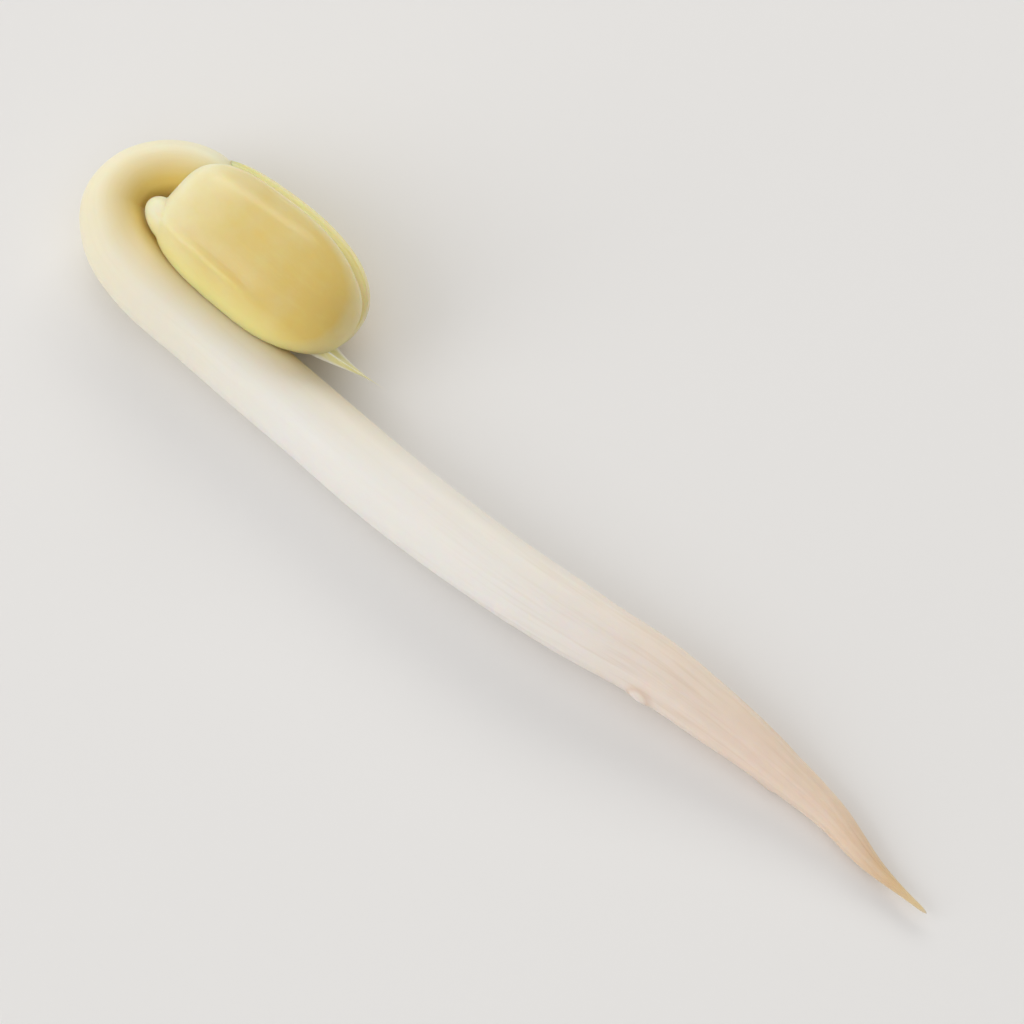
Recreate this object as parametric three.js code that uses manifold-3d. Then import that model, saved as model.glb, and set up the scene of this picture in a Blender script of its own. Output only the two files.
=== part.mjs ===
// A mung bean sprout lying on its side: a white hooked stem that tapers into a root, two plump
// seed leaves closed like a shell round the end of the hook, and the first pair of true leaves
// folded between them, with their tips just out.
//
// Millimetres, +Z up. +X runs from the hook to the root tip and the head lies on the +Y side.
// The origin is the middle of the sprout's footprint, on the surface that it lies on.

import * as THREE from "three";
import { mergeVertices } from "three/addons/utils/BufferGeometryUtils.js";
import Module from "manifold-3d";

const wasm = await Module();
wasm.setup();

// ---- Driving dimensions -------------------------------------------------------------------

// The stem's middle line and radius, from the shoot end between the seed leaves to the root tip.
const stemRoute = [
  // x, y, z, radius
  [4.9, 3.0, 2.5, 0.4], // shoot end
  [3.7, 3.3, 2.5, 0.72], // joint that bears the seed leaves
  [2.3, 3.35, 2.5, 0.93],
  [0.9, 2.6, 2.45, 1.06], // top of the hook
  [0.15, 1.25, 2.3, 1.13],
  [0.3, 0.0, 2.05, 1.21],
  [1.4, -0.95, 1.8, 1.33], // foot of the hook
  [3.2, -1.3, 1.6, 1.43],
  [6.5, -1.25, 1.48, 1.5],
  [11.5, -1.2, 1.47, 1.53], // the stem rests from here
  [16.5, -1.15, 1.5, 1.52], // to here
  [21.5, -0.8, 1.6, 1.46],
  [25.5, -0.2, 1.5, 1.35],
  [28.5, 0.4, 1.3, 1.22], // the root begins
  [32.0, 0.75, 1.02, 1.04],
  [34.5, 0.85, 0.8, 0.85], // the root rests here
  [37.0, 0.85, 0.62, 0.62],
  [39.5, 0.5, 0.5, 0.38],
  [42.3, 0.45, 0.5, 0.16], // root tip
];
const stemSides = 24;
const stemRings = 88;
const stemRounding = 0.5; // length of the dome that closes each end

// Buds of side roots: share of the way along the stem, degrees round it from the level +Y side
// over the top, height and radius.
const rootBuds = [
  { along: 0.705, turn: 160, height: 0.45, radius: 0.42 },
  { along: 0.78, turn: 70, height: 0.3, radius: 0.32 },
  { along: 0.84, turn: 20, height: 0.3, radius: 0.28 },
];
const budTip = 0.35; // share of its radius that is left at a bud's tip
const budSunk = 0.6; // share of the stem's radius that a bud is sunk in by
const budSides = 8;

// The head: two seed leaves, face to face.
const headCentre = { x: 6.25, y: 2.95 };
const headTurn = 3.5; // degrees that the head's length turns from +X towards +Y
const headRoll = 20; // degrees that the upper seed leaf rolls over towards the stem
const seedLeafLength = 9.1;
const seedLeafWidth = 5.1;
const seedLeafThickness = 2.6;
const seedLeafOutline = 2.6; // superellipse power of the oblong outline
const seedLeafCrown = 2.25; // and of the bulge of its outer face
const seedLeafRim = 0.2; // height of the blunt rim
const seedLeafOpening = 1.6; // degrees that each one stands open, hinged at the stem's end
const seedLeafShear = 0.25; // how far each one has slid sideways off the head's middle
const dishDepth = 0.95; // hollow of the inner face
const seedLeafColumns = 36;
const seedLeafRows = 22;

// The short stalk that joins a seed leaf to the stem, in the head's own frame.
const stalkRoute = [
  [-2.6, -0.6, 1.1],
  [-4.0, -0.6, 0.7],
  [-5.3, -0.6, 0.1],
];
const stalkRadius = 0.5;
const stalkRounding = 0.25; // share of its length that closes each end
const stalkSides = 12;
const stalkRings = 10;

// The first true leaves, folded between the seed leaves.
const leafRoute = [
  // the upper leaf's midline in the head's own frame
  [-1.4, 0.2, 0.36],
  [1.2, 0.0, 0.4],
  [3.8, -0.5, 0.4],
  [6.1, -1.2, 0.42],
];
const leafWidth = 2.2;
const leafThickness = 0.62;
const leafShortfall = 1.0; // how much less the lower leaf reaches out
const leafBase = 0.75; // under 1 brings the widest place nearer the stem's end
const leafFullness = 0.8; // under 1 fills the outline out
const leafRounding = 0.15; // share of its length over which each end thins out
const leafSides = 12;
const leafRings = 22;

const restDepth = 0.05; // how deeply each resting spot is flattened
const slip = 0.06; // air between pieces that lie against each other
const groundSize = 120; // a block under the surface, wider than the sprout
const groundDepth = 10;

// ---- Helpers ------------------------------------------------------------------------------

const radians = THREE.MathUtils.degToRad;
const vectorOf = ([x, y, z]) => new THREE.Vector3(x, y, z);

// A closed geometry as a solid that can be joined and cut.
function solidOf(geometry) {
  const bare = new THREE.BufferGeometry();
  bare.setAttribute("position", geometry.getAttribute("position"));
  bare.setIndex(geometry.index);
  const merged = mergeVertices(bare, 1e-4);
  return new wasm.Manifold(
    new wasm.Mesh({
      numProp: 3,
      vertProperties: merged.attributes.position.array,
      triVerts: new Uint32Array(merged.index.array),
    }),
  );
}

function geometryOf(solid) {
  const mesh = solid.getMesh();
  const geometry = new THREE.BufferGeometry();
  geometry.setAttribute("position", new THREE.BufferAttribute(mesh.vertProperties, 3));
  geometry.setIndex(new THREE.BufferAttribute(mesh.triVerts, 1));
  geometry.computeVertexNormals();
  return geometry;
}

// Moves every vertex of a geometry to where the rule puts it.
function reshape(geometry, rule) {
  const position = geometry.getAttribute("position");
  const point = new THREE.Vector3();
  for (let i = 0; i < position.count; i++) {
    point.fromBufferAttribute(position, i);
    rule(point, i);
    position.setXYZ(i, point.x, point.y, point.z);
  }
  return geometry;
}

// A bar bent along a curve: a ball whose rings are spread along the curve, closed at both ends.
// sizeAt(share) gives its half width and half height there; extra makes it fatter all round.
function bentBar(curve, sides, rings, sizeAt, extra = 0) {
  const ball = new THREE.SphereGeometry(1, sides, rings);
  return reshape(ball, (point, i) => {
    const share = Math.floor(i / (sides + 1)) / rings;
    const turn = (-2 * Math.PI * (i % (sides + 1))) / sides;
    const { centre, across, over } = station(curve, share);
    const [halfWidth, halfHeight] = sizeAt(share);
    const margin = share > 0 && share < 1 ? extra : 0;
    point
      .copy(centre)
      .addScaledVector(across, Math.cos(turn) * (halfWidth + margin))
      .addScaledVector(over, Math.sin(turn) * (halfHeight + margin));
  });
}

// The place on a curve, with the level direction across it and the upward one over it.
function station(curve, share) {
  const along = curve.getTangentAt(share);
  const across = new THREE.Vector3(0, 0, 1).cross(along).normalize();
  return { centre: curve.getPointAt(share), across, over: along.clone().cross(across) };
}

// 0 at a bar's two ends, rising to 1 over the given share of its length.
function dome(share, rounding) {
  const fromEnd = Math.min(1, share / rounding, (1 - share) / rounding);
  return Math.sqrt(1 - (1 - fromEnd) ** 2);
}

// Cuts off what lies below the surface, which leaves the flat spots that the sprout rests on.
function flatten(solid) {
  const ground = new THREE.BoxGeometry(groundSize, groundSize, groundDepth);
  return solid.subtract(solidOf(ground.translate(0, 0, -groundDepth / 2)));
}

// ---- Stem and root ------------------------------------------------------------------------

const middleLine = new THREE.CatmullRomCurve3(stemRoute.map(vectorOf));
middleLine.arcLengthDivisions = 1000;
const radiusLine = new THREE.CatmullRomCurve3(
  stemRoute.map(([, , , radius]) => new THREE.Vector3(radius, 0, 0)),
);

// The radius of the stem at a share of its length.
function stemRadius(share) {
  const atPoint = radiusLine.getPoint(middleLine.getUtoTmapping(share)).x;
  return atPoint * dome(share, stemRounding / middleLine.getLength());
}

function stemBar(extra) {
  const sizeAt = (share) => [stemRadius(share), stemRadius(share)];
  return bentBar(middleLine, stemSides, stemRings, sizeAt, extra);
}

// A low blunt cone, sunk well into the stem.
function rootBud({ along, turn, height, radius }) {
  const { centre, across, over } = station(middleLine, along);
  const outward = across
    .multiplyScalar(Math.cos(radians(turn)))
    .addScaledVector(over, Math.sin(radians(turn)));
  const buried = stemRadius(along) * budSunk;
  const cone = new THREE.CylinderGeometry(radius * budTip, radius, height + buried, budSides);
  cone.translate(0, stemRadius(along) + (height - buried) / 2, 0);
  const upright = new THREE.Vector3(0, 1, 0);
  cone.applyQuaternion(new THREE.Quaternion().setFromUnitVectors(upright, outward));
  return cone.translate(centre.x, centre.y, centre.z);
}

function stem() {
  const buds = rootBuds.map((bud) => solidOf(rootBud(bud)));
  return flatten(buds.reduce((whole, bud) => whole.add(bud), solidOf(stemBar())));
}

// ---- The head's own frame -----------------------------------------------------------------
// x along the head, y across the face between the seed leaves, z out of that face. Everything
// in the head is made as its upper one, and the lower one is the same turned half round x.

// Turns a geometry as the head lies, as the upper or the lower one of its pair.
function turnInHead(geometry, isLower) {
  if (isLower) geometry.rotateX(Math.PI);
  return geometry.rotateX(radians(headRoll)).rotateZ(radians(headTurn));
}

// The height of the head's middle at which its lower seed leaf rests on the surface.
function restingHeight() {
  const lower = turnInHead(open(seedLeafBody()), true);
  lower.computeBoundingBox();
  return -lower.boundingBox.min.z - restDepth;
}
const headHeight = restingHeight();

// Turns a geometry as the head lies and puts it in the head.
function seat(geometry, isLower) {
  return turnInHead(geometry, isLower).translate(headCentre.x, headCentre.y, headHeight);
}

// ---- Seed leaves --------------------------------------------------------------------------

// A ball squashed to an oblong outline, with a bulging outer face and a dished inner one.
function seedLeafBody() {
  const ball = new THREE.SphereGeometry(1, seedLeafColumns, seedLeafRows);
  ball.rotateX(Math.PI / 2);
  return reshape(ball, (point) => {
    const bearing = Math.atan2(point.y, point.x);
    const outline =
      (Math.abs(Math.cos(bearing)) ** seedLeafOutline +
        Math.abs(Math.sin(bearing)) ** seedLeafOutline) **
      (-1 / seedLeafOutline);
    const share = Math.hypot(point.x, point.y) ** (2 / seedLeafCrown);
    const bulge = Math.max(0, point.z) ** (2 / seedLeafCrown);
    const isInner = point.z < -1e-6;
    point.x = (Math.cos(bearing) * outline * share * seedLeafLength) / 2;
    point.y = (Math.sin(bearing) * outline * share * seedLeafWidth) / 2;
    point.z = isInner
      ? dishDepth * (1 - share ** 2)
      : seedLeafRim + (seedLeafThickness - seedLeafRim) * bulge;
  });
}

// Stands a seed leaf open about its end at the stem, clear of the other one.
function open(geometry) {
  return geometry
    .translate(seedLeafLength / 2, -seedLeafShear, slip / 2)
    .rotateY(-radians(seedLeafOpening))
    .translate(-seedLeafLength / 2, 0, 0);
}

function seedLeafStalk() {
  const curve = new THREE.CatmullRomCurve3(stalkRoute.map(vectorOf));
  const radiusAt = (share) => stalkRadius * dome(share, stalkRounding);
  return bentBar(curve, stalkSides, stalkRings, (share) => [radiusAt(share), radiusAt(share)]);
}

// A seed leaf with its stalk, cut clear of the stem and of the leaves that it folds round.
function seedLeaf(isLower) {
  const body = solidOf(seat(open(seedLeafBody()), isLower));
  const stalk = solidOf(seat(open(seedLeafStalk()), isLower));
  const neighbours = [stemBar(slip), trueLeafBlade(false, slip), trueLeafBlade(true, slip)];
  const clear = neighbours.reduce(
    (solid, neighbour) => solid.subtract(solidOf(neighbour)),
    body.add(stalk),
  );
  return flatten(clear);
}

// ---- True leaves --------------------------------------------------------------------------

// A lance-shaped blade, widest before its middle and seated in the head.
function trueLeafBlade(isLower, extra) {
  const route = leafRoute.map(vectorOf);
  if (isLower) route.at(-1).x -= leafShortfall;
  const curve = new THREE.CatmullRomCurve3(route);
  const sizeAt = (share) => [
    (leafWidth / 2) * Math.max(0, Math.sin(Math.PI * share ** leafBase)) ** leafFullness,
    (leafThickness / 2) * dome(share, leafRounding),
  ];
  return seat(bentBar(curve, leafSides, leafRings, sizeAt, extra), isLower);
}

function trueLeaf(isLower) {
  return solidOf(trueLeafBlade(isLower)).subtract(solidOf(stemBar(slip)));
}

// ---- The sprout ---------------------------------------------------------------------------

const white = { color: 0xefece2, roughness: 0.38, metalness: 0 };
const goldenYellow = { color: 0xd9bc34, roughness: 0.34, metalness: 0 };
const yellowGreen = { color: 0xd3d21e, roughness: 0.45, metalness: 0 };

const sprout = new THREE.Group();

function grow(name, solid, finish) {
  const mesh = new THREE.Mesh(geometryOf(solid), new THREE.MeshStandardMaterial(finish));
  mesh.name = name;
  sprout.add(mesh);
}

grow("stem_and_root", stem(), white);
grow("seed_leaf_upper", seedLeaf(false), goldenYellow);
grow("seed_leaf_lower", seedLeaf(true), goldenYellow);
grow("true_leaf_upper", trueLeaf(false), yellowGreen);
grow("true_leaf_lower", trueLeaf(true), yellowGreen);

// The middle of the footprint becomes the origin.
const footprint = new THREE.Box3().setFromObject(sprout).getCenter(new THREE.Vector3());
for (const mesh of sprout.children) mesh.position.set(-footprint.x, -footprint.y, 0);

export default sprout;
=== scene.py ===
import math
import bmesh
import bpy
from mathutils import Matrix, Vector, noise
from mathutils.kdtree import KDTree


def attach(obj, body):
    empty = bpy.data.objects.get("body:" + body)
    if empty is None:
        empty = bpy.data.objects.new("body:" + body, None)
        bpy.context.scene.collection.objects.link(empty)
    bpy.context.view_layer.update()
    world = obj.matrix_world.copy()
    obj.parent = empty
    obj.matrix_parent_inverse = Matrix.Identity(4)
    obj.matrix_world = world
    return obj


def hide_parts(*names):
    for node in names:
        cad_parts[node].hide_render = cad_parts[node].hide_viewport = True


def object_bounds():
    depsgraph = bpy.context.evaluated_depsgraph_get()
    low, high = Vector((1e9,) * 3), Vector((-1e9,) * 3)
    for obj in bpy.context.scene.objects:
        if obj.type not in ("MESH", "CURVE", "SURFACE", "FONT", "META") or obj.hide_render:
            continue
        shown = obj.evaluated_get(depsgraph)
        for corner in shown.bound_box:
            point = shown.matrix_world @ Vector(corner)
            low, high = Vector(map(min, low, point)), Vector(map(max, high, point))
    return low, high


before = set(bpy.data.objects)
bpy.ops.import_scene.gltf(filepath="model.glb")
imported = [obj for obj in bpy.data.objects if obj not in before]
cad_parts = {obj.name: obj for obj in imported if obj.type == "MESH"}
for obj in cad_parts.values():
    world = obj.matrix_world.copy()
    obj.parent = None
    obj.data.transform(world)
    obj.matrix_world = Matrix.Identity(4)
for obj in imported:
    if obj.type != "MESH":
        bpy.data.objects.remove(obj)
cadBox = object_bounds()

# Shapes are worked out in millimetres on a plan whose zero is under the hook, and turned to
# metres in the frame when they are finished.
mm = 0.001
planOrigin = Vector((20.628, 1.572, 0.0))  # the plan's point under the middle of the sprout
slip = 0.06  # air between pieces that lie against each other


def linear(hexColour):
    # an sRGB hex colour as the linear values that shaders take
    parts = [int(hexColour[i:i + 2], 16) / 255 for i in (1, 3, 5)]
    return [p / 12.92 if p <= 0.04045 else ((p + 0.055) / 1.055) ** 2.4 for p in parts] + [1.0]


def ease(value, low, high):
    # 0 below low, 1 above high, and a soft step between them
    t = min(1.0, max(0.0, (value - low) / (high - low)))
    return t * t * (3 - 2 * t)


def hump(distance, width):
    return math.exp(-((distance / width) ** 2))


# A smooth line through the points of a route. Each point is x, y, z and any further values that
# go along with it, and each sample holds how far along the line it is.
def lineThrough(route, samplesPerSpan=40):
    points = [Vector(p) for p in route]
    points = [2 * points[0] - points[1], *points, 2 * points[-1] - points[-2]]
    samples = []
    travel = 0.0
    for a, b, c, d in zip(points, points[1:], points[2:], points[3:]):
        gapA, gapB, gapC = [math.sqrt((q - p).xyz.length) for p, q in ((a, b), (b, c), (c, d))]
        leave = ((b - a) / gapA - (c - a) / (gapA + gapB) + (c - b) / gapB) * gapB
        arrive = ((c - b) / gapB - (d - b) / (gapB + gapC) + (d - c) / gapC) * gapB
        for i in range(samplesPerSpan):
            t = i / samplesPerSpan
            bend = (3 * (c - b) - 2 * leave - arrive) * t * t + (2 * (b - c) + leave + arrive) * t ** 3
            samples.append(b + leave * t + bend)
    samples.append(points[-2])
    travels = [0.0]
    for p, q in zip(samples, samples[1:]):
        travel += (q - p).xyz.length
        travels.append(travel)
    return {"points": samples, "travels": travels, "length": travel}


# The place at a share of a line's length: its middle, the direction along it, the level
# direction across it and the upward one over it.
def stationOn(line, share):
    travels = line["travels"]
    target = share * line["length"]
    low, high = 0, len(travels) - 1
    while high - low > 1:
        middle = (low + high) // 2
        low, high = (middle, high) if travels[middle] <= target else (low, middle)
    part = (target - travels[low]) / (travels[high] - travels[low])
    a, b = line["points"][low], line["points"][high]
    before, after = line["points"][max(0, low - 1)], line["points"][min(len(travels) - 1, high + 1)]
    centre = a.lerp(b, part)
    along = (b - before).xyz.normalized().lerp((after - a).xyz.normalized(), part).normalized()
    across = Vector((0, 0, 1)).cross(along).normalized()
    return centre, along, across, along.cross(across)


# 0 at the two ends of a bar, rising to 1 over the given share of its length
def dome(share, rounding):
    fromEnd = min(1.0, share / rounding, (1 - share) / rounding)
    return math.sqrt(max(0.0, 1 - (1 - fromEnd) ** 2))


# A ball whose rings are spread along a line. The rule gives, for a share of the length and a
# turn round the line, how far the skin is sideways, upwards and forwards of the line's point.
def bentBar(bm, line, sides, rings, bunching, rule, layerName, layerRule):
    layer = bm.verts.layers.float_vector.new(layerName)
    made = bmesh.ops.create_uvsphere(bm, u_segments=sides, v_segments=rings, radius=1.0)["verts"]
    stations = {}
    for v in made:
        ring = round(math.acos(max(-1.0, min(1.0, v.co.z))) / math.pi * rings)
        turn = math.atan2(v.co.y, v.co.x) if 0 < ring < rings else 0.0
        if ring not in stations:
            even = ring / rings
            share = even + bunching * ((1 - math.cos(math.pi * even)) / 2 - even)
            stations[ring] = (share, *stationOn(line, share))
        share, centre, along, across, over = stations[ring]
        sideways, upwards, forwards = rule(share, turn, centre)
        v[layer] = layerRule(share, turn)
        v.co = centre.xyz + across * sideways + over * upwards + along * forwards
    return made


# Nothing sinks into the surface that the sprout lies on.
def layFlat(bm):
    for v in bm.verts:
        v.co.z = max(v.co.z, 0.0)


def addPiece(bm, name, node, material):
    bmesh.ops.translate(bm, verts=bm.verts, vec=-planOrigin)
    bmesh.ops.scale(bm, verts=bm.verts, vec=(mm, mm, mm))
    bmesh.ops.recalc_face_normals(bm, faces=bm.faces)
    for face in bm.faces:
        face.smooth = True
    mesh = bpy.data.meshes.new(name)
    bm.to_mesh(mesh)
    bm.free()
    mesh.materials.append(material)
    piece = bpy.data.objects.new(name, mesh)
    bpy.context.scene.collection.objects.link(piece)
    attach(piece, "root")
    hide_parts(node)
    return piece


# Adds a node to a material: its own settings by name, its sockets' values by name or number,
# and what is plugged into them.
def addNode(tree, kind, settings=None, links=None):
    node = tree.nodes.new(kind)
    for name, value in (settings or {}).items():
        if isinstance(name, str) and hasattr(node, name):
            setattr(node, name, value)
        else:
            node.inputs[name].default_value = value
    for name, output in (links or {}).items():
        tree.links.new(output, node.inputs[name])
    return node


def setStops(ramp, stops):
    # the first and last stops of a fresh ramp are moved, and the others are added
    elements = ramp.color_ramp.elements
    for i, (position, hexColour) in enumerate(stops):
        if i in (0, len(stops) - 1):
            element = elements[0 if i == 0 else -1]
            element.position = position
        else:
            element = elements.new(position)
        element.color = linear(hexColour)


def newMaterial(name):
    material = bpy.data.materials.new(name)
    material.use_nodes = True
    tree = material.node_tree
    tree.nodes.clear()
    return material, tree


# The stem and its root, from the shoot end in the head, round the hook and along to the tip.
stem = {
    "route": [  # x, y, z, radius in mm
        (5.1, 2.4, 2.55, 0.4),  # shoot end
        (3.8, 2.95, 2.6, 0.72),
        (2.3, 3.2, 2.6, 0.93),
        (0.9, 2.5, 2.5, 1.05),  # top of the hook
        (0.1, 1.25, 2.3, 1.14),
        (0.22, 0.0, 2.05, 1.23),
        (1.4, -0.95, 1.8, 1.33),  # foot of the hook
        (3.2, -1.3, 1.6, 1.43),
        (6.5, -1.25, 1.48, 1.5),
        (11.5, -1.2, 1.47, 1.53),  # the stem rests from here
        (16.5, -1.15, 1.5, 1.52),  # to here
        (21.5, -0.8, 1.6, 1.46),
        (25.5, -0.2, 1.5, 1.35),
        (28.5, 0.4, 1.3, 1.22),  # the root begins
        (32.0, 0.75, 1.02, 1.04),
        (34.5, 0.85, 0.8, 0.85),  # the root rests here
        (37.0, 0.85, 0.62, 0.62),
        (39.5, 0.5, 0.5, 0.38),
        (42.3, 0.45, 0.5, 0.16),  # root tip
    ],
    "sides": 96,
    "rings": 470,
    "bunching": 0.45,  # how much closer the rings stand at the ends
    "rounding": 0.5,  # length of the dome that closes each end
    "wander": 0.035,  # slow swelling and thinning along the stem
    "wanderLength": 4.5,
    "oval": 0.018,  # share of the radius that the section is out of round by
    "ovalTwist": 7,  # length in which the oval turns by half a radian
    "ribs": 0.008,  # height of the lengthwise ribs on the stem
    "ribGrain": (4.2, 9),  # how fine they are round the stem, and how long
    "wrinkles": 0.075,  # height of the wrinkles on the root
    "wrinkleGrain": (3.1, 4.5),
    "creases": 0.012,  # height of the fine creases across the root
    "creaseGrain": (1.6, 0.55),
    "smoothTip": (7, 0.75),  # length at the root tip that is smoother, and by what share
    "fineTip": (4, 0.5),  # length at the root tip that is thinner, and by what share
    "rootFrom": 25.5,  # length along the stem where the skin starts to turn to root
    "rootTo": 35.0,
    "patternRadius": 1.5,  # radius and length on which the skin's colours are laid out
    "patternLength": 49.8,
    "budStretch": 1.5,  # how much longer than wide a bud is
    "budLean": 0.35,  # how far a bud's tip leans towards the root tip, for its height
    "budSteepness": 2.4,
    "budCollar": (0.035, 1.25, 0.22),  # its height, and its place and width in bud radii
    "buds": [  # share of the length, degrees round from level over the top, height, radius
        (0.722, 182, 0.16, 0.3),
        (0.78, 318, 0.1, 0.24),
        (0.84, 225, 0.09, 0.22),
    ],
}


def stemLine():
    return lineThrough(stem["route"])


# Noise on the skin, from how fine it is round the stem and how long it is along it.
def skinNoise(travel, turn, grain, shift):
    around, along = grain
    x = math.cos(turn) * around + shift[0]
    y = math.sin(turn) * around + shift[1]
    return noise.noise(Vector((x, y, travel / along)))


# How far the skin stands out from the plain round section, in mm.
def stemRelief(travel, turn, radius, length):
    root = ease(travel, stem["rootFrom"], stem["rootTo"])
    tipLength, smoother = stem["smoothTip"]
    roughness = root * (1 - smoother * ease(travel, length - tipLength, length))
    swell = stem["wander"] * noise.noise(Vector((travel / stem["wanderLength"], 3.1, 0.7)))
    oval = stem["oval"] * radius * math.cos(2 * turn + travel / stem["ovalTwist"])
    ribs = skinNoise(travel, turn, stem["ribGrain"], (0, 0))
    wrinkles = skinNoise(travel, turn, stem["wrinkleGrain"], (7, 0)) - 0.5 * abs(ribs)
    creases = skinNoise(travel, turn, stem["creaseGrain"], (0, 4))
    skin = stem["ribs"] * (1 - root) * ribs
    skin += stem["wrinkles"] * roughness * wrinkles + stem["creases"] * roughness * creases
    return swell * (1 - 0.5 * root) + oval + skin


# The height of the buds at a point, and how near it is to the middle of one, from 0 to 1.
def budRelief(travel, turn, radius, length):
    height = nearness = 0.0
    collar, collarAt, collarWidth = stem["budCollar"]
    for share, degrees, budHeight, budRadius in stem["buds"]:
        aside = (turn - math.radians(degrees) + math.pi) % (2 * math.pi) - math.pi
        distance = math.hypot((travel - share * length) / stem["budStretch"], aside * radius)
        if distance < 3 * budRadius:
            height += budHeight * math.exp(-((distance / budRadius) ** stem["budSteepness"]))
            height += collar * hump(distance - collarAt * budRadius, collarWidth * budRadius)
            nearness = max(nearness, hump(distance, budRadius))
    return height, nearness


def makeStem(material):
    line = stemLine()
    length = line["length"]
    rounding = stem["rounding"] / length
    tipLength, finer = stem["fineTip"]

    def skin(share, turn, centre):
        fine = 1 - finer * ease(share * length, length - tipLength, length)
        radius = centre.w * dome(share, rounding) * fine
        relief = stemRelief(share * length, turn, centre.w, length) * dome(share, rounding)
        bud = budRelief(share * length, turn, centre.w, length)[0]
        out = radius + relief + bud
        return math.cos(turn) * out, math.sin(turn) * out, stem["budLean"] * bud

    def unbent(share, turn):
        radius = stem["patternRadius"]
        return Vector((math.cos(turn) * radius, math.sin(turn) * radius, share * length))

    bm = bmesh.new()
    budLayer = bm.verts.layers.float.new("bud")
    bentBar(bm, line, stem["sides"], stem["rings"], stem["bunching"], skin, "unbent", unbent)
    unbentLayer = bm.verts.layers.float_vector["unbent"]
    for v in bm.verts:
        x, y, travel = v[unbentLayer]
        v[budLayer] = budRelief(travel, math.atan2(y, x), 1.0, length)[1]
    layFlat(bm)
    return addPiece(bm, "stemAndRoot", "stem_and_root", material)


# The head: how the pair of seed leaves lies. Each is made as the upper one, in a frame with x
# along the head, y across the face between the two and z out of that face.
head = {
    "centre": (6.45, 2.03, 2.66),
    "turn": 1.5,  # degrees from +X towards +Y
    "roll": 20,  # degrees that the upper seed leaf rolls over towards the stem
}

seedLeaf = {
    "length": 9.1,
    "width": 4.6,
    "thickness": 2.6,
    "outline": 2.3,  # superellipse power of the oblong outline
    "stalkOutline": 3.1,  # and of its blunter end at the stalk
    "crown": 2.25,  # and of the bulge of its outer face
    "belly": 0.26,  # how far its sides stand out past the rim
    "bellyAt": (1.0, 0.75),  # height of that swelling, and half its width
    "rim": 0.2,
    "lip": 0.88,  # share of the way out at which the inner face turns up into the rim
    "rimReach": 0.07,  # how much further than the solid its rim reaches towards the other one
    "rimReachEnds": (2.2, 3.4),  # along the leaf, where that fades out
    "dish": 0.95,  # hollow of the inner face
    "dishPower": 1.6,
    "opening": 1.6,  # degrees that it stands open
    "shear": 0.1,  # how far the upper one has slid sideways off the head's middle
    "lowerShear": 0.2,  # and the lower one, the other way
    "cuts": 79,
    "crests": [  # from and to in the leaf's own frame, height and half width
        ((-3.3, -1.2), (0.7, -1.35), 0.2, 0.22),
        ((-3.4, 1.6), (2.2, 1.95), 0.06, 0.4),
    ],
    "lowerCrests": 0.6,  # share of their height on the lower leaf
    "lumps": 0.05,
    "lumpSize": 2.2,
    "dents": 0.012,  # smaller unevenness
    "dentSize": (1.9, 0.7, 0.7),
    "swellFrom": (20, 6.5, 1.7),  # the higher, the less the skin swells that way
    "stub": 0.6,  # how far the stub of its stalk stands out
    "lowerStub": 0.1,  # share of it on the lower leaf
    "stubFrom": -3,  # the stalk's end of the leaf, which it rises from
    "stubAt": (-1.1, 0.75),  # across and up
    "stubRadius": 0.7,
    "lowerBack": 0.3,  # how far the lower leaf lies nearer to the stalk
    "wall": 0.3,  # least thickness where the leaf rides over the stem
    "softening": 10,  # rounds of smoothing where it was pressed against the stem
    "clasps": 6.5,  # length of the stem that lies in the head
    "besideTo": 22,  # and the length to which it passes beside the head
}


def headMatrix(isLower):
    flip = Matrix.Rotation(math.pi, 4, "X") if isLower else Matrix.Identity(4)
    roll = Matrix.Rotation(math.radians(head["roll"]), 4, "X")
    turn = Matrix.Rotation(math.radians(head["turn"]), 4, "Z")
    return Matrix.Translation(head["centre"]) @ turn @ roll @ flip


def openedMatrix(isLower):
    half = seedLeaf["length"] / 2
    swing = Matrix.Rotation(-math.radians(seedLeaf["opening"]), 4, "Y")
    back = seedLeaf["lowerBack"] if isLower else 0.0
    shear = seedLeaf["lowerShear"] if isLower else seedLeaf["shear"]
    slide = Matrix.Translation((half - back, -shear, slip / 2))
    return Matrix.Translation((-half, 0, 0)) @ swing @ slide


# A point of a ball, moved to the skin of the seed leaf.
def seedLeafSkin(p):
    bearing = math.atan2(p.y, p.x)
    power = seedLeaf["outline"]
    toStalk = ease(-math.cos(bearing), -0.2, 0.7)
    power += (seedLeaf["stalkOutline"] - power) * toStalk
    outline = (abs(math.cos(bearing)) ** power + abs(math.sin(bearing)) ** power) ** (-1 / power)
    share = min(1.0, math.hypot(p.x, p.y)) ** (2 / seedLeaf["crown"])
    x = math.cos(bearing) * outline * share * seedLeaf["length"] / 2
    y = math.sin(bearing) * outline * share * seedLeaf["width"] / 2
    if p.z >= -1e-6:
        bulge = max(0.0, p.z) ** (2 / seedLeaf["crown"])
        z = seedLeaf["rim"] + (seedLeaf["thickness"] - seedLeaf["rim"]) * bulge
        height, width = seedLeaf["bellyAt"]
        y += seedLeaf["belly"] * hump(z - height, width) * math.sin(bearing)
    elif share < seedLeaf["lip"]:
        z = seedLeaf["dish"] * (1 - (share / seedLeaf["lip"]) ** 2) ** seedLeaf["dishPower"]
    else:
        up = (share - seedLeaf["lip"]) / (1 - seedLeaf["lip"])
        z = seedLeaf["rim"] * (1 - math.sqrt(1 - up * up))
    if p.z < 0.2:
        nearRim = hump(share - 0.97, 0.05) * (1 - ease(x, *seedLeaf["rimReachEnds"]))
        z -= seedLeaf["rimReach"] * nearRim
    return Vector((x, y, z)), share


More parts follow.
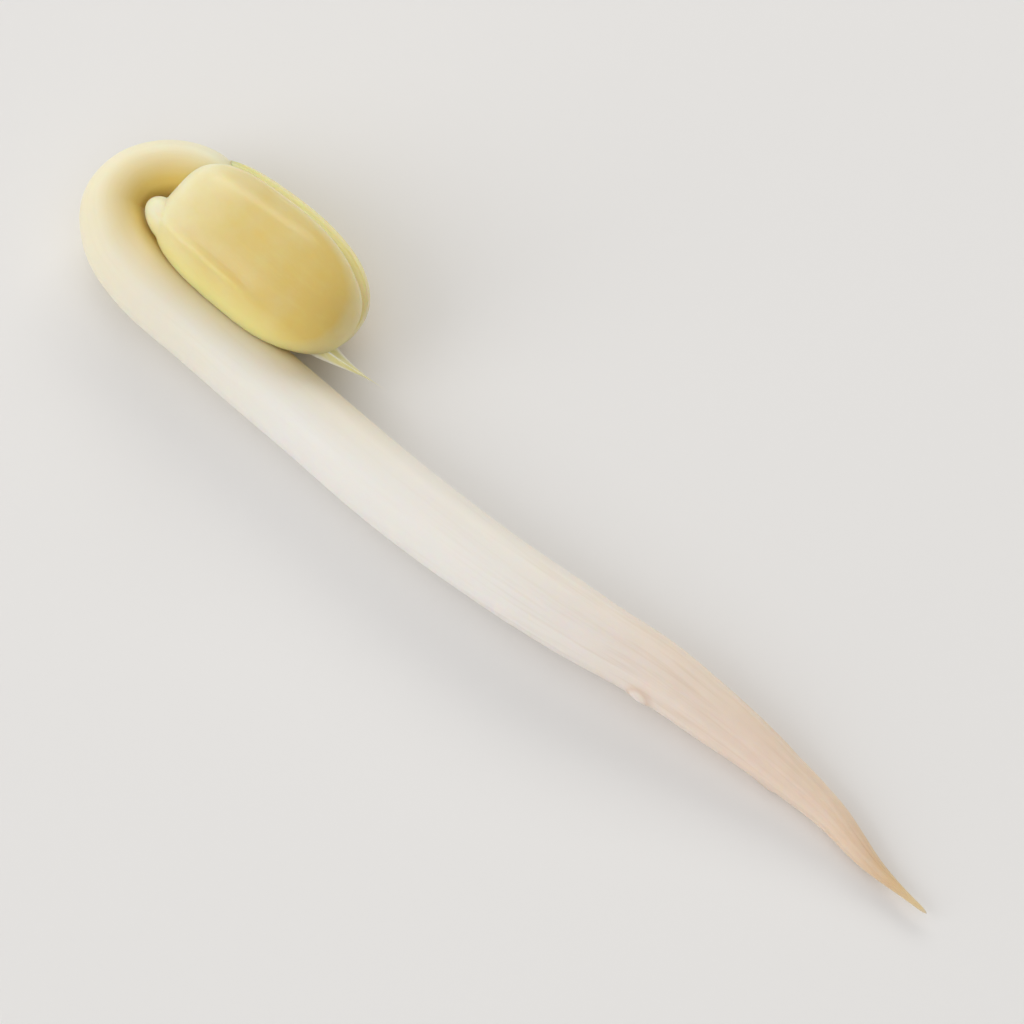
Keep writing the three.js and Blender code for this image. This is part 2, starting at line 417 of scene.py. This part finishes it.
# Soft crests along the outer face, as a height.
def crestHeight(p):
    height = 0.0
    for (startX, startY), (endX, endY), crest, width in seedLeaf["crests"]:
        t = (p.x - startX) / (endX - startX)
        aside = p.y - (startY + (endY - startY) * t)
        height += crest * hump(aside, width) * ease(t, -0.25, 0.15) * (1 - ease(t, 0.8, 1.3))
    return height


# Keeps a point of a seed leaf clear of the stem. Where the two leaves clasp the stem it goes
# outwards, and beside the straight stem it is pressed flat against it.
def pushClear(v, stemSamples, wall, outward):
    sample, index, gap = stemSamples["tree"].find(v.co)
    radius, travel = stemSamples["sizes"][index]
    clear = radius + slip + (wall if travel < seedLeaf["clasps"] else 0.0)
    if gap >= clear:
        return False
    if travel < seedLeaf["clasps"]:
        aside = (v.co - sample) - outward * (v.co - sample).dot(outward)
        v.co = sample + aside + outward * math.sqrt(max(0.0, clear ** 2 - aside.length_squared))
    else:
        v.co = sample + (v.co - sample).normalized() * clear
    return True


def makeSeedLeaf(name, node, material, isLower, stemSamples, seed):
    bm = bmesh.new()
    layer = bm.verts.layers.float_vector.new("inLeaf")
    rimLayer = bm.verts.layers.float.new("rim")
    bmesh.ops.create_cube(bm, size=2.0)
    bmesh.ops.subdivide_edges(bm, edges=bm.edges, cuts=seedLeaf["cuts"], use_grid_fill=True)
    place = headMatrix(isLower) @ openedMatrix(isLower)
    outward = (place.to_3x3() @ Vector((0, 0, 1))).normalized()
    stub = seedLeaf["stub"] * (seedLeaf["lowerStub"] if isLower else 1)
    crests = seedLeaf["lowerCrests"] if isLower else 1
    stubAcross, stubUp = seedLeaf["stubAt"]
    swellX, swellY, swellZ = seedLeaf["swellFrom"]
    dentX, dentY, dentZ = seedLeaf["dentSize"]
    pushed = []
    for v in bm.verts:
        ball = Vector([math.tan(c * math.pi / 4) for c in v.co]).normalized()
        isOuter = ball.z >= -1e-6
        p, share = seedLeafSkin(ball)
        away = Vector((p.x / swellX, p.y / swellY, (p.z if isOuter else -0.2) / swellZ)).normalized()
        lumps = noise.noise(p / seedLeaf["lumpSize"] + Vector((seed, 0, 0)))
        dents = noise.noise(Vector((p.x / dentX, p.y / dentY, p.z / dentZ + seed)))
        swell = seedLeaf["lumps"] * lumps + seedLeaf["dents"] * dents
        if isOuter:
            swell += crestHeight(p) * crests * ease(p.z, 0.3, 1.4)
        p += away * swell
        if p.x < seedLeaf["stubFrom"]:
            offStub = math.hypot(p.y - stubAcross, p.z - stubUp) / seedLeaf["stubRadius"]
            p.x -= stub * (max(0.0, 1 - offStub ** 2) ** 0.6 + 0.12 * hump(offStub, 1.6))
        v[layer] = p
        v[rimLayer] = share if isOuter else 1.0
        wall = seedLeaf["wall"] * ease(p.z, 0.1, 0.8) if isOuter else 0.0
        v.co = place @ p
        if pushClear(v, stemSamples, wall, outward):
            pushed.append(v)
    for _ in range(seedLeaf["softening"]):
        bmesh.ops.smooth_vert(bm, verts=pushed, factor=0.5, use_axis_x=True, use_axis_y=True,
                              use_axis_z=True)
    for v in pushed:
        pushClear(v, stemSamples, 0.0, outward)
    layFlat(bm)
    return addPiece(bm, name, node, material)


def stemSamplesNearHead():
    line = stemLine()
    near = [(p, t) for p, t in zip(line["points"], line["travels"]) if t < seedLeaf["besideTo"]]
    tree = KDTree(len(near))
    for i, (p, t) in enumerate(near):
        tree.insert(p.xyz, i)
    tree.balance()
    return {"tree": tree, "sizes": [(p.w, t) for p, t in near]}


# The first true leaves, folded between the seed leaves with their tips out.
trueLeaf = {
    "route": [(-1.4, 0.2, 0.5), (1.2, -0.5, 0.5), (3.7, -1.1, 0.34), (6.8, -0.85, 0.16)],
    "lowerShortfall": 2.9,
    "lowerSink": 0.12,  # how far the lower leaf's tip lies nearer to the upper one
    "upperDroop": 0.5,  # how far the upper leaf's tip hangs below its line
    "width": 1.9,
    "base": 0.75,
    "fullness": 0.8,  # under 1 the sides curve outwards like a lance head's
    "tipFullness": 2.2,  # and over 1 they curve inwards to a drawn-out tip
    "tipBetween": (0.35, 0.7),  # shares of the length over which it turns to tip
    "thickness": 0.17,
    "margin": 0.35,  # share of the thickness left at the edge
    "fold": 12,  # degrees that each half droops from the midrib
    "tipFold": 30,  # and at the tip
    "midrib": 0.07,
    "midribWidth": 0.12,
    "wave": 0.03,  # height of the waves along its edges
    "sides": 48,
    "rings": 110,
    "bunching": 0.5,
}


def makeTrueLeaf(name, node, material, isLower, seed):
    route = [list(p) for p in trueLeaf["route"]]
    if isLower:
        route[-1][0] -= trueLeaf["lowerShortfall"]
        route[-1][2] -= trueLeaf["lowerSink"]
    else:
        route[-1][2] -= trueLeaf["upperDroop"]
    line = lineThrough(route)

    def skin(share, turn, centre):
        arch = max(0.0, math.sin(math.pi * share ** trueLeaf["base"]))
        toTip = ease(share, *trueLeaf["tipBetween"])
        fullness = trueLeaf["fullness"] + (trueLeaf["tipFullness"] - trueLeaf["fullness"]) * toTip
        half = trueLeaf["width"] / 2 * arch ** fullness
        aside = math.cos(turn)
        thin = trueLeaf["margin"] + (1 - trueLeaf["margin"]) * (1 - aside * aside)
        thickness = trueLeaf["thickness"] / 2 * thin * dome(share, 0.12)
        rib = 0.0
        if turn > 0:
            rib = trueLeaf["midrib"] * hump(aside * half, trueLeaf["midribWidth"]) * dome(share, 0.3)
        wave = trueLeaf["wave"] * noise.noise(Vector((share * 9, aside * 1.5, seed)))
        lean = math.radians(trueLeaf["fold"] + (trueLeaf["tipFold"] - trueLeaf["fold"]) * toTip)
        drop = abs(aside) * half * math.sin(lean) + wave * abs(aside)
        return aside * half * math.cos(lean), math.sin(turn) * (thickness + rib) - drop, 0.0

    def onBlade(share, turn):
        return Vector((share * line["length"], math.cos(turn), math.sin(turn)))

    bm = bmesh.new()
    bentBar(bm, line, trueLeaf["sides"], trueLeaf["rings"], trueLeaf["bunching"], skin,
            "onBlade", onBlade)
    bmesh.ops.transform(bm, matrix=headMatrix(isLower), verts=bm.verts)
    return addPiece(bm, name, node, material)


# Blanched stem: water-filled white flesh under a thin moist skin. The eye gets a milky glow
# with soft edges, fine lengthwise lines and a faint wet gleam. It is cream in the hook, white along
# the stem and tan down the root, and the deeper yellow on the side that faces the head is painted
# warm shade.
def stemTissue():
    material, tree = newMaterial("stemTissue")
    place = addNode(tree, "ShaderNodeAttribute", {"attribute_name": "unbent"}).outputs["Vector"]
    split = addNode(tree, "ShaderNodeSeparateXYZ", links={"Vector": place})
    down = addNode(tree, "ShaderNodeMapRange", {"From Min": 0.0, "From Max": stem["patternLength"]},
                   {"Value": split.outputs["Z"]})
    blotches = addNode(tree, "ShaderNodeTexNoise", {"Scale": 1 / 1.7, "Detail": 3.0}, {"Vector": place})
    shifted = addNode(tree, "ShaderNodeMath", {"operation": "MULTIPLY_ADD", 1: 0.06},
                      {0: blotches.outputs["Fac"], 2: down.outputs["Result"]})
    age = addNode(tree, "ShaderNodeValToRGB", links={"Fac": shifted.outputs["Value"]})
    setStops(age, [(0.04, "#E8DA9A"), (0.1, "#F2ECCE"), (0.17, "#F1E9C8"), (0.26, "#F0E9D6"),
                   (0.42, "#F2EFE8"), (0.62, "#F2EEE8"), (0.7, "#F1E9E1"), (0.77, "#F0E2D5"),
                   (0.85, "#EDDACA"), (0.92, "#EBD6C3"), (0.96, "#E4CBB3"), (1.0, "#D8BA97")])
    # painted warm shade: a deeper yellow on the side of the hook that faces the head, fading to a faint
    # tint along the stem
    paintedShadeSide = addNode(tree, "ShaderNodeMapRange", {"From Min": -0.7, "From Max": 1.4},
                         {"Value": split.outputs["X"]})
    paintedShadeNearHook = addNode(tree, "ShaderNodeMapRange", {
        "From Min": 0.16, "From Max": 0.48, "To Min": 1.15, "To Max": 0.1,
    }, {"Value": down.outputs["Result"]})
    paintedShadeMask = addNode(tree, "ShaderNodeMath", {"operation": "MULTIPLY"},
                    {0: paintedShadeSide.outputs["Result"], 1: paintedShadeNearHook.outputs["Result"]})
    paintedShadeMix = addNode(tree, "ShaderNodeMix", {"data_type": "RGBA", 7: linear("#E4C972")},
                     {0: paintedShadeMask.outputs["Value"], 6: age.outputs["Color"]})
    # strands of the stem, 0.18 mm apart and twenty times as long
    stretched = addNode(tree, "ShaderNodeMapping", {"Scale": (1.0, 1.0, 0.05)}, {"Vector": place})
    lines = addNode(tree, "ShaderNodeTexNoise", {"Scale": 1 / 0.18, "Detail": 2.0},
                    {"Vector": stretched.outputs["Vector"]})
    streaked = addNode(tree, "ShaderNodeMapRange", {
        "From Min": 0.5, "From Max": 0.75, "To Min": 0.06, "To Max": 0.3,
    }, {"Value": down.outputs["Result"]})
    lineShade = addNode(tree, "ShaderNodeMapRange", {"From Min": 0.5, "From Max": 0.75},
                        {"Value": lines.outputs["Fac"], "To Max": streaked.outputs["Result"]})
    tint = addNode(tree, "ShaderNodeMix", {
        "data_type": "RGBA", "blend_type": "MULTIPLY", 7: linear("#E3D8C4"),
    }, {0: lineShade.outputs["Result"], 6: paintedShadeMix.outputs[2]})
    bud = addNode(tree, "ShaderNodeAttribute", {"attribute_name": "bud"}).outputs["Fac"]
    budRing = addNode(tree, "ShaderNodeValToRGB", links={"Fac": bud})
    setStops(budRing, [(0.04, "#000000"), (0.3, "#A0A0A0"), (0.62, "#202020"), (1.0, "#000000")])
    ringed = addNode(tree, "ShaderNodeMix", {"data_type": "RGBA", 7: linear("#D2A98A")},
                     {0: budRing.outputs["Color"], 6: tint.outputs[2]})
    gloss = addNode(tree, "ShaderNodeMapRange", {"To Min": 0.34, "To Max": 0.56},
                    {"Value": blotches.outputs["Fac"]})
    # skin cells are about 0.03 mm wide, too fine to show, so they are drawn at 0.08 mm
    cells = addNode(tree, "ShaderNodeMapping", {"Scale": (1.0, 1.0, 0.25)}, {"Vector": place})
    skinCells = addNode(tree, "ShaderNodeTexNoise", {"Scale": 1 / 0.08, "Detail": 2.0},
                        {"Vector": cells.outputs["Vector"]})
    ribBump = addNode(tree, "ShaderNodeBump", {"Strength": 0.2, "Distance": 0.02 * mm},
                      {"Height": lines.outputs["Fac"]})
    skinBump = addNode(tree, "ShaderNodeBump", {"Strength": 0.2, "Distance": 0.008 * mm},
                       {"Height": skinCells.outputs["Fac"], "Normal": ribBump.outputs["Normal"]})
    shader = addNode(tree, "ShaderNodeBsdfPrincipled", {
        "IOR": 1.39, "Subsurface Weight": 0.55, "Subsurface Radius": (1.0, 0.72, 0.42),
        "Subsurface Scale": 1.1 * mm, "Coat Weight": 0.15, "Coat Roughness": 0.3, "Coat IOR": 1.34,
    }, {"Base Color": ringed.outputs[2], "Roughness": gloss.outputs["Result"],
        "Normal": skinBump.outputs["Normal"]})
    addNode(tree, "ShaderNodeOutputMaterial", links={"Surface": shader.outputs["BSDF"]})
    return material


# Seed leaf: dense starchy flesh under a waxy skin. The eye gets a golden yellow that pales
# towards the rim and the stalk, with faint lengthwise veins and broad soft gleams. The lemon down
# one flank is painted light and the deeper gold at the far end is painted shade.
def seedLeafTissue():
    material, tree = newMaterial("seedLeafTissue")
    place = addNode(tree, "ShaderNodeAttribute", {"attribute_name": "inLeaf"}).outputs["Vector"]
    rim = addNode(tree, "ShaderNodeAttribute", {"attribute_name": "rim"}).outputs["Fac"]
    split = addNode(tree, "ShaderNodeSeparateXYZ", links={"Vector": place})
    patches = addNode(tree, "ShaderNodeTexNoise", {"Scale": 1 / 1.3, "Detail": 3.0, "Roughness": 0.55},
                      {"Vector": place})
    stalkEnd = addNode(tree, "ShaderNodeMapRange", {"From Min": -1.0, "From Max": -5.1, "To Max": 0.95},
                       {"Value": split.outputs["X"]})
    edge = addNode(tree, "ShaderNodeMapRange", {"From Min": 0.9, "From Max": 1.0, "To Max": 0.45},
                   {"Value": rim})
    palest = addNode(tree, "ShaderNodeMath", {"operation": "MAXIMUM"},
                     {0: stalkEnd.outputs["Result"], 1: edge.outputs["Result"]})
    # painted shade: the gold deepens towards the far end of the leaf
    paintedShadeFarEnd = addNode(tree, "ShaderNodeMapRange", {"From Min": 0.5, "From Max": 4.4, "To Max": -0.16},
                     {"Value": split.outputs["X"]})
    spread = addNode(tree, "ShaderNodeMath", {"operation": "ADD"},
                     {0: palest.outputs["Value"], 1: paintedShadeFarEnd.outputs["Result"]})
    paleness = addNode(tree, "ShaderNodeMath", {"operation": "MULTIPLY_ADD", 1: 0.45},
                       {0: patches.outputs["Fac"], 2: spread.outputs["Value"]})
    flesh = addNode(tree, "ShaderNodeValToRGB", links={"Fac": paleness.outputs["Value"]})
    setStops(flesh, [(0.08, "#E6CA6F"), (0.3, "#E5D18A"), (0.6, "#EBDBA2"), (0.85, "#EFE5B6"),
                     (1.0, "#F3ECCC")])
    # painted light: a pale lemon down the flank nearer the stem
    paintedLightFlank = addNode(tree, "ShaderNodeMapRange", {"From Min": -1.2, "From Max": -2.1, "To Max": 0.7},
                    {"Value": split.outputs["Y"]})
    paintedLightMix = addNode(tree, "ShaderNodeMix", {"data_type": "RGBA", 7: linear("#FBEB98")},
                    {0: paintedLightFlank.outputs["Result"], 6: flesh.outputs["Color"]})
    # veins 0.3 mm apart and ten times as long
    stretched = addNode(tree, "ShaderNodeMapping", {"Scale": (0.1, 1.0, 1.0)}, {"Vector": place})
    veins = addNode(tree, "ShaderNodeTexNoise", {"Scale": 1 / 0.3, "Detail": 2.5},
                    {"Vector": stretched.outputs["Vector"]})
    veinShade = addNode(tree, "ShaderNodeMapRange", {"From Min": 0.52, "From Max": 0.72, "To Max": 0.18},
                        {"Value": veins.outputs["Fac"]})
    tint = addNode(tree, "ShaderNodeMix", {"data_type": "RGBA", 7: linear("#EBDB84")},
                   {0: veinShade.outputs["Result"], 6: paintedLightMix.outputs[2]})
    gloss = addNode(tree, "ShaderNodeMapRange", {"To Min": 0.38, "To Max": 0.58},
                    {"Value": patches.outputs["Fac"]})
    # pores are about 0.02 mm wide, too fine to show, so they are drawn at 0.14 mm
    pores = addNode(tree, "ShaderNodeTexNoise", {"Scale": 1 / 0.14, "Detail": 2.0}, {"Vector": place})
    veinBump = addNode(tree, "ShaderNodeBump", {"Strength": 0.3, "Distance": 0.03 * mm},
                       {"Height": veins.outputs["Fac"]})
    poreBump = addNode(tree, "ShaderNodeBump", {"Strength": 0.25, "Distance": 0.01 * mm},
                       {"Height": pores.outputs["Fac"], "Normal": veinBump.outputs["Normal"]})
    shader = addNode(tree, "ShaderNodeBsdfPrincipled", {
        "IOR": 1.43, "Subsurface Weight": 0.7, "Subsurface Radius": (1.0, 0.6, 0.22),
        "Subsurface Scale": 1.3 * mm, "Coat Weight": 0.45, "Coat Roughness": 0.2, "Coat IOR": 1.42,
    }, {"Base Color": tint.outputs[2], "Roughness": gloss.outputs["Result"],
        "Normal": poreBump.outputs["Normal"]})
    addNode(tree, "ShaderNodeOutputMaterial", links={"Surface": shader.outputs["BSDF"]})
    return material


# True leaf grown in the dark: a thin soft blade. The eye gets a pale creamy yellow that light
# comes through, with a paler midrib, side veins and edge.
def leafTissue():
    material, tree = newMaterial("leafTissue")
    place = addNode(tree, "ShaderNodeAttribute", {"attribute_name": "onBlade"}).outputs["Vector"]
    split = addNode(tree, "ShaderNodeSeparateXYZ", links={"Vector": place})
    aside = addNode(tree, "ShaderNodeMath", {"operation": "ABSOLUTE"}, {0: split.outputs["Y"]})
    midrib = addNode(tree, "ShaderNodeMapRange", {"From Min": 0.16, "From Max": 0.0},
                     {"Value": aside.outputs["Value"]})
    edge = addNode(tree, "ShaderNodeMapRange", {"From Min": 0.6, "From Max": 0.95},
                   {"Value": aside.outputs["Value"]})
    slant = addNode(tree, "ShaderNodeMath", {"operation": "MULTIPLY_ADD", 1: -0.8},
                    {0: aside.outputs["Value"], 2: split.outputs["X"]})
    # side veins, 0.75 mm apart along the midrib
    ripple = addNode(tree, "ShaderNodeMath", {"operation": "MULTIPLY", 1: 2 * math.pi / 0.75},
                     {0: slant.outputs["Value"]})
    wave = addNode(tree, "ShaderNodeMath", {"operation": "SINE"}, {0: ripple.outputs["Value"]})
    veins = addNode(tree, "ShaderNodeMapRange", {"From Min": 0.6, "From Max": 1.0, "To Max": 0.3},
                    {"Value": wave.outputs["Value"]})
    paleA = addNode(tree, "ShaderNodeMath", {"operation": "MAXIMUM"},
                    {0: midrib.outputs["Result"], 1: edge.outputs["Result"]})
    pale = addNode(tree, "ShaderNodeMath", {"operation": "MAXIMUM"},
                   {0: paleA.outputs["Value"], 1: veins.outputs["Result"]})
    tint = addNode(tree, "ShaderNodeMix", {"data_type": "RGBA", 6: linear("#EAE3A6"), 7: linear("#F8F5E4")},
                   {0: pale.outputs["Value"]})
    bump = addNode(tree, "ShaderNodeBump", {"Strength": 0.4, "Distance": 0.03 * mm},
                   {"Height": pale.outputs["Value"]})
    shader = addNode(tree, "ShaderNodeBsdfPrincipled", {
        "IOR": 1.42, "Roughness": 0.42, "Subsurface Weight": 0.4, "Subsurface Radius": (1.0, 0.95, 0.4),
        "Subsurface Scale": 0.5 * mm, "Coat Weight": 0.2, "Coat Roughness": 0.25,
    }, {"Base Color": tint.outputs[2], "Normal": bump.outputs["Normal"]})
    addNode(tree, "ShaderNodeOutputMaterial", links={"Surface": shader.outputs["BSDF"]})
    return material


# The camera looks down on the sprout, from a long way off for its size.
camera = {"azimuth": 44, "elevation": 64, "lens": 400, "width": 38.5, "raise": -0.3, "aside": -0.6}


def viewBasis():
    a, e = math.radians(camera["azimuth"]), math.radians(camera["elevation"])
    back = Vector((math.sin(a) * math.cos(e), -math.cos(a) * math.cos(e), math.sin(e)))
    right = Vector((math.cos(a), math.sin(a), 0))
    return right, back.cross(right), back


def makeCamera():
    right, up, back = viewBasis()
    low, high = cadBox
    centre = (low + high) / 2 + (right * camera["aside"] + up * camera["raise"]) * mm
    data = bpy.data.cameras.new("camera")
    data.lens = camera["lens"]
    data.clip_start, data.clip_end = 0.01, 10
    lookout = bpy.data.objects.new("camera", data)
    distance = camera["width"] * mm * data.lens / data.sensor_width
    lookout.location = centre + back * distance
    lookout.rotation_mode = "QUATERNION"
    lookout.rotation_quaternion = (-back).to_track_quat("-Z", "Y")
    bpy.context.scene.collection.objects.link(lookout)
    bpy.context.scene.camera = lookout


# Soft studio light. Each lamp is placed by how far it is to the right of the view, up it and
# back towards the camera, in mm.
studio = {
    "sky": ("#FFFFFF", 0.36),
    "lamps": {
        "ceiling": {"at": (-220, 200, 900), "size": (2000, 2000), "power": 4.9, "tint": "#FFFFFF"},
        "backLamp": {"at": (60, 700, 60), "size": (700, 260), "power": 1.9, "tint": "#FFFDF8"},
        "leftLamp": {"at": (-700, 0, 420), "size": (480, 760), "power": 2.3, "tint": "#FFFFFF"},
    },
}


def lightStudio():
    bpy.context.scene.view_settings.view_transform = "Standard"
    world = bpy.data.worlds.new("studioSky")
    world.use_nodes = True
    sky = world.node_tree.nodes["Background"]
    sky.inputs["Color"].default_value = linear(studio["sky"][0])
    sky.inputs["Strength"].default_value = studio["sky"][1]
    bpy.context.scene.world = world
    right, up, back = viewBasis()
    for name, lamp in studio["lamps"].items():
        data = bpy.data.lights.new(name, "AREA")
        data.shape = "RECTANGLE"
        data.size, data.size_y = lamp["size"][0] * mm, lamp["size"][1] * mm
        data.energy = lamp["power"]
        data.color = linear(lamp["tint"])[:3]
        lampObject = bpy.data.objects.new(name, data)
        at = right * lamp["at"][0] + up * lamp["at"][1] + back * lamp["at"][2]
        lampObject.location = at * mm
        lampObject.rotation_mode = "QUATERNION"
        lampObject.rotation_quaternion = (-at).to_track_quat("-Z", "Y")
        bpy.context.scene.collection.objects.link(lampObject)


# Matt card: a plain pale sweep with hardly any gloss. Its fibres are too fine to show, so the
# grain is drawn at 0.8 mm.
def paleCard():
    material, tree = newMaterial("paleCard")
    grain = addNode(tree, "ShaderNodeTexNoise", {"Scale": 1 / (0.8 * mm), "Detail": 2.0})
    coordinates = addNode(tree, "ShaderNodeTexCoord")
    tree.links.new(coordinates.outputs["Object"], grain.inputs["Vector"])
    bump = addNode(tree, "ShaderNodeBump", {"Strength": 0.1, "Distance": 0.01 * mm},
                   {"Height": grain.outputs["Fac"]})
    shader = addNode(tree, "ShaderNodeBsdfPrincipled", {"Base Color": linear("#F0EEEC"), "Roughness": 0.7},
                     {"Normal": bump.outputs["Normal"]})
    addNode(tree, "ShaderNodeOutputMaterial", links={"Surface": shader.outputs["BSDF"]})
    return material


def layFloor():
    bm = bmesh.new()
    bmesh.ops.create_grid(bm, x_segments=1, y_segments=1, size=2.5)
    mesh = bpy.data.meshes.new("floor")
    bm.to_mesh(mesh)
    bm.free()
    mesh.materials.append(paleCard())
    floor = bpy.data.objects.new("floor", mesh)
    bpy.context.scene.collection.objects.link(floor)


makeCamera()
lightStudio()
layFloor()
print("studio ready")

makeStem(stemTissue())
print("stem and root made")

seedSkin = seedLeafTissue()
stemNearHead = stemSamplesNearHead()
makeSeedLeaf("seedLeafUpper", "seed_leaf_upper", seedSkin, False, stemNearHead, 1.7)
makeSeedLeaf("seedLeafLower", "seed_leaf_lower", seedSkin, True, stemNearHead, 5.2)
print("seed leaves made")

leafBlade = leafTissue()
makeTrueLeaf("trueLeafUpper", "true_leaf_upper", leafBlade, False, 2.0)
makeTrueLeaf("trueLeafLower", "true_leaf_lower", leafBlade, True, 6.0)
print("true leaves made")
